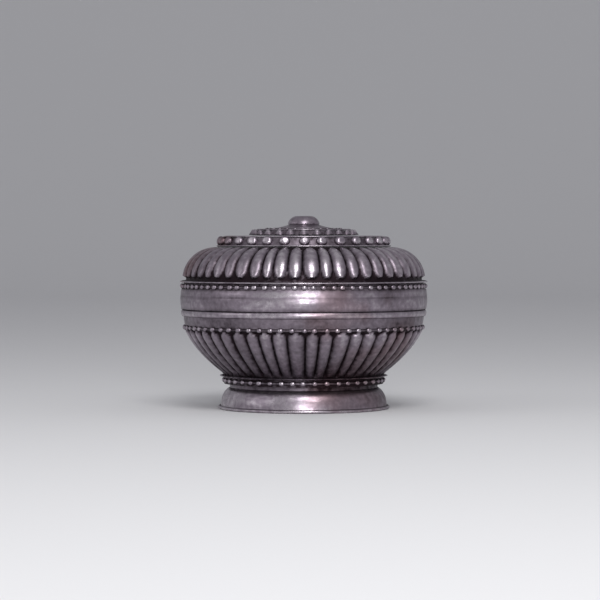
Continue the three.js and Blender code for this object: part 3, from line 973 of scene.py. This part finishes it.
# %% Upper tier
POINTS = 25
UPPER_RADIUS = 12.5 * MM
UPPER_WALL = 1.05 * MM
UPPER_LEAN = 0.8 * MM
UPPER_HOLE = 1.5 * MM  # radius of the hole under the knob
TIER_GAP = 0.1 * MM  # between the two tiers
BUD_HEIGHT = 1.4 * MM
BUD_RADIUS = 1.4 * MM
BUD_TIP_RADIUS = 0.25 * MM
BUD_FLATNESS = 0.8
BUD_SETTING = 0.2 * MM  # how far a bud's middle lies inside the tier's base
BUD_FOOT_HOLLOW = 0.6
BUD_FADE = 0.8  # how much the hollow fades from a bud's foot up to its bright tip
BUD_FADE_HEIGHT = 1.1 * MM

point_top = reach("point_tier")[2]
point_level = tier_top + TIER_GAP
upper_section = tier_section(
    UPPER_RADIUS, point_level, UPPER_WALL, UPPER_LEAN, point_top, UPPER_HOLE
)
upper_base = turned_piece("upper_tier", upper_section, POINTS * FACES_PER_STUD, press_tier)
close_and_smooth(upper_base, angle=35)
deselect()
bpy.ops.mesh.primitive_cone_add(
    vertices=14, radius1=BUD_RADIUS, radius2=BUD_TIP_RADIUS, depth=BUD_HEIGHT
)
bud = bpy.context.object
bpy.ops.object.mode_set(mode="EDIT")
bpy.ops.mesh.select_all(action="SELECT")
bpy.ops.mesh.subdivide(number_cuts=3, smoothness=0.0)
bpy.ops.transform.resize(value=(1, BUD_FLATNESS, 1))
bpy.ops.mesh.vertices_smooth(factor=0.3, repeat=1)
bud_middle = (0, -UPPER_RADIUS + BUD_SETTING, point_level + BUD_HEIGHT / 2)
bpy.ops.transform.translate(value=bud_middle)
bpy.ops.object.mode_set(mode="OBJECT")
bpy.ops.object.shade_smooth()
mark_hollow(bud, lambda r, z: BUD_FOOT_HOLLOW - BUD_FADE * (z - point_level) / BUD_FADE_HEIGHT)
buds = ring_of_copies(bud, POINTS, seed=9, unevenness=0.06, shrinkage=0.1)
upper_tier = join([upper_base] + buds, "upper_tier")
finish_piece(upper_tier, "lid", "chased_silver", chased, "point_tier")

# %% [markdown]
# The knob stands on a flared collar, a small turned cup that hides where its peg passes through
# the lid. A cone would be too stiff a shape for it, so its flare is a bent line that draws in
# under the knob.

# %% Flared collar
KNOB_STEPS = 96
COLLAR_ROWS = 8
COLLAR_BORE = 1.4 * MM
COLLAR_TUCK = 0.1 * MM  # how far its foot lies inside its widest ring
COLLAR_EDGE = 0.15 * MM  # height of that ring
FLARE_TUCK = 0.05 * MM
FLARE_FOOT = 0.32 * MM
FLARE_PULL_HEIGHT = 0.6 * MM
FLARE_PULL = 1.35  # as a share of the knob's radius
KNOB_FOOT = 0.97  # radius of the knob's foot, as a share of the knob's radius

collar_radius, collar_low, collar_top = reach("knob_collar")
knob_radius, knob_low, knob_top = reach("knob")
collar_section = [(collar_radius - COLLAR_TUCK, collar_low)]
collar_section += [(collar_radius, collar_low + COLLAR_EDGE)]
collar_section += curve_points(
    (collar_radius - FLARE_TUCK, collar_low + FLARE_FOOT),
    (knob_radius * FLARE_PULL, collar_low + FLARE_PULL_HEIGHT),
    (knob_radius * KNOB_FOOT, collar_top),
    COLLAR_ROWS,
)
collar_section += [(COLLAR_BORE, collar_top), (COLLAR_BORE, collar_low), collar_section[0]]
collar_dents = dented(0.03 * MM, hollow=0.35, last_ring=9, seed=2)
collar = turned_piece("knob_flare", collar_section, KNOB_STEPS, collar_dents)
close_and_smooth(collar, angle=40)
finish_piece(collar, "lid", "plain_silver", plain, "knob_collar")

# %% [markdown]
# The knob is a small flattened ball on its peg. Its top is rubbed bright, with a shallow dimple
# where the peg was hammered over. A squashed sphere would have no dimple and no peg, so it is
# turned from rings like the rest.

# %% Knob
PEG_RADIUS = 1.3 * MM
BALL_GAP = 0.02 * MM  # between the ball and its collar
BALL_ROWS = 10
BALL_FOOT = 0.2  # share of the ball's height where its side begins to bend in
BALL_PULL = 0.86  # share of its radius and height that the bend is drawn towards
DIMPLE_LIP = 0.9  # radius of the dimple's rounded lip, as a share of the crown's
DIMPLE_LIP_DROP = 0.3  # how deep the lip lies, as a share of the dimple
DIMPLE_FLOOR = 0.6
DIMPLE_EYE_DROP = 1.1
CROWN_RADIUS = 1.9 * MM  # where the side of the knob turns over into the dimple
DIMPLE = 0.22 * MM
DIMPLE_EYE = 0.1 * MM  # radius of the last ring, which is filled with one face

ball_low = collar_top + BALL_GAP
ball_height = knob_top - ball_low
knob_section = [(PEG_RADIUS, knob_low), (PEG_RADIUS, ball_low)]
knob_section += [(knob_radius * KNOB_FOOT, ball_low)]
knob_section += curve_points(
    (knob_radius, ball_low + ball_height * BALL_FOOT),
    (knob_radius * BALL_PULL, ball_low + ball_height * BALL_PULL),
    (CROWN_RADIUS, knob_top),
    BALL_ROWS,
)
knob_section += [(CROWN_RADIUS * DIMPLE_LIP, knob_top - DIMPLE * DIMPLE_LIP_DROP)]
knob_section += [(CROWN_RADIUS * DIMPLE_FLOOR, knob_top - DIMPLE)]
knob_section += [(DIMPLE_EYE, knob_top - DIMPLE * DIMPLE_EYE_DROP)]
knob_dents = dented(0.04 * MM, hollow=0.05, last_ring=13, seed=8)
knob = turned_piece("knob_ball", knob_section, KNOB_STEPS, knob_dents)
close_and_smooth(knob, angle=40)
finish_piece(knob, "lid", "plain_silver", plain, "knob")
